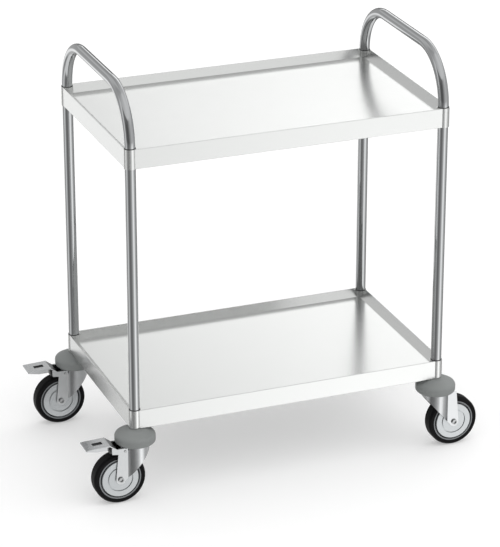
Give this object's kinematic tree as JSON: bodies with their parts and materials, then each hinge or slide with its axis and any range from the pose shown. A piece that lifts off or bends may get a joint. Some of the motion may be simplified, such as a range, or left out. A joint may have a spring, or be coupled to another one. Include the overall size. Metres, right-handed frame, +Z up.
{
  "type": "service cart",
  "caption": "Two-tier service cart: bent tube end frames with push handles carry two rimmed trays on swivel castors with corner bumpers and foot brakes.",
  "frame": {"origin": "on the floor, at the middle of the footprint with the brake pedals included", "axes": "+Z up, +X along the long side to the end without brakes, +Y from the front to the back"},
  "size_m": [0.9934, 0.551, 1],
  "materials": {
    "polished_tube": "mirror polished stainless steel",
    "satin_sheet": "satin ground stainless sheet",
    "satin_sleeve": "satin stainless tube",
    "bright_pressing": "bright plated pressed steel",
    "plated_fastener": "zinc plated steel",
    "grey_rubber": "matt grey rubber",
    "black_rubber": "matt black rubber",
    "black_tyre": "smooth black tread",
    "grey_plastic": "moulded grey plastic",
    "light_plastic": "moulded light grey plastic",
    "black_plastic": "moulded black plastic"
  },
  "bodies": {
    "cart_frame": {"left_end_frame": "polished_tube", "right_end_frame": "polished_tube", "upper_tray": "satin_sheet", "lower_tray": "satin_sheet", "upper_tray_sleeves": "satin_sleeve", "lower_tray_sleeves": "satin_sleeve", "upper_tray_seals": "black_rubber", "lower_tray_seals": "black_rubber", "upper_tray_screws": "plated_fastener", "lower_tray_screws": "plated_fastener", "castor_stems": "plated_fastener", "castor_expanders": "black_rubber", "swivel_seals": "black_rubber", "front_left_bumper": "grey_rubber", "rear_left_bumper": "grey_rubber", "front_right_bumper": "grey_rubber", "rear_right_bumper": "grey_rubber"},
    "front_left_swivel": {"front_left_fork": "bright_pressing", "front_left_swivel_bearing": "plated_fastener", "front_left_axle_bolt": "plated_fastener", "front_left_axle_nut": "plated_fastener", "front_left_axle_sleeve": "plated_fastener", "front_left_brake_pin": "plated_fastener"},
    "front_left_wheel": {"front_left_wheel_core": "grey_plastic", "front_left_tyre": "black_tyre", "front_left_hub_bushes": "black_plastic", "front_left_thread_guards": "light_plastic"},
    "front_left_brake": {"front_left_brake_pedal": "bright_pressing", "front_left_brake_shoe": "black_plastic"},
    "rear_left_swivel": {"rear_left_fork": "bright_pressing", "rear_left_swivel_bearing": "plated_fastener", "rear_left_axle_bolt": "plated_fastener", "rear_left_axle_nut": "plated_fastener", "rear_left_axle_sleeve": "plated_fastener", "rear_left_brake_pin": "plated_fastener"},
    "rear_left_wheel": {"rear_left_wheel_core": "grey_plastic", "rear_left_tyre": "black_tyre", "rear_left_hub_bushes": "black_plastic", "rear_left_thread_guards": "light_plastic"},
    "rear_left_brake": {"rear_left_brake_pedal": "bright_pressing", "rear_left_brake_shoe": "black_plastic"},
    "front_right_swivel": {"front_right_fork": "bright_pressing", "front_right_swivel_bearing": "plated_fastener", "front_right_axle_bolt": "plated_fastener", "front_right_axle_nut": "plated_fastener", "front_right_axle_sleeve": "plated_fastener"},
    "front_right_wheel": {"front_right_wheel_core": "grey_plastic", "front_right_tyre": "black_tyre", "front_right_hub_bushes": "black_plastic", "front_right_thread_guards": "light_plastic"},
    "rear_right_swivel": {"rear_right_fork": "bright_pressing", "rear_right_swivel_bearing": "plated_fastener", "rear_right_axle_bolt": "plated_fastener", "rear_right_axle_nut": "plated_fastener", "rear_right_axle_sleeve": "plated_fastener"},
    "rear_right_wheel": {"rear_right_wheel_core": "grey_plastic", "rear_right_tyre": "black_tyre", "rear_right_hub_bushes": "black_plastic", "rear_right_thread_guards": "light_plastic"}
  },
  "joints": [
    {"name": "front_left_swivel_turn", "type": "hinge", "parent": "cart_frame", "child": "front_left_swivel", "pos_m": [-0.37075, -0.2275, 0.146], "axis": [0, 0, 1], "continuous": true},
    {"name": "front_left_wheel_spin", "type": "hinge", "parent": "front_left_swivel", "child": "front_left_wheel", "pos_m": [-0.41375, -0.2275, 0.0625], "axis": [0, 1, 0], "continuous": true},
    {"name": "front_left_brake_press", "type": "hinge", "parent": "front_left_swivel", "child": "front_left_brake", "pos_m": [-0.40275, -0.2275, 0.135], "axis": [0, -1, 0], "range_deg": [0, 12]},
    {"name": "rear_left_swivel_turn", "type": "hinge", "parent": "cart_frame", "child": "rear_left_swivel", "pos_m": [-0.37075, 0.2275, 0.146], "axis": [0, 0, 1], "continuous": true},
    {"name": "rear_left_wheel_spin", "type": "hinge", "parent": "rear_left_swivel", "child": "rear_left_wheel", "pos_m": [-0.41375, 0.2275, 0.0625], "axis": [0, 1, 0], "continuous": true},
    {"name": "rear_left_brake_press", "type": "hinge", "parent": "rear_left_swivel", "child": "rear_left_brake", "pos_m": [-0.40275, 0.2275, 0.135], "axis": [0, -1, 0], "range_deg": [0, 12]},
    {"name": "front_right_swivel_turn", "type": "hinge", "parent": "cart_frame", "child": "front_right_swivel", "pos_m": [0.39125, -0.2275, 0.146], "axis": [0, 0, 1], "continuous": true},
    {"name": "front_right_wheel_spin", "type": "hinge", "parent": "front_right_swivel", "child": "front_right_wheel", "pos_m": [0.43425, -0.2275, 0.0625], "axis": [0, 1, 0], "continuous": true},
    {"name": "rear_right_swivel_turn", "type": "hinge", "parent": "cart_frame", "child": "rear_right_swivel", "pos_m": [0.39125, 0.2275, 0.146], "axis": [0, 0, 1], "continuous": true},
    {"name": "rear_right_wheel_spin", "type": "hinge", "parent": "rear_right_swivel", "child": "rear_right_wheel", "pos_m": [0.43425, 0.2275, 0.0625], "axis": [0, 1, 0], "continuous": true}
  ]
}
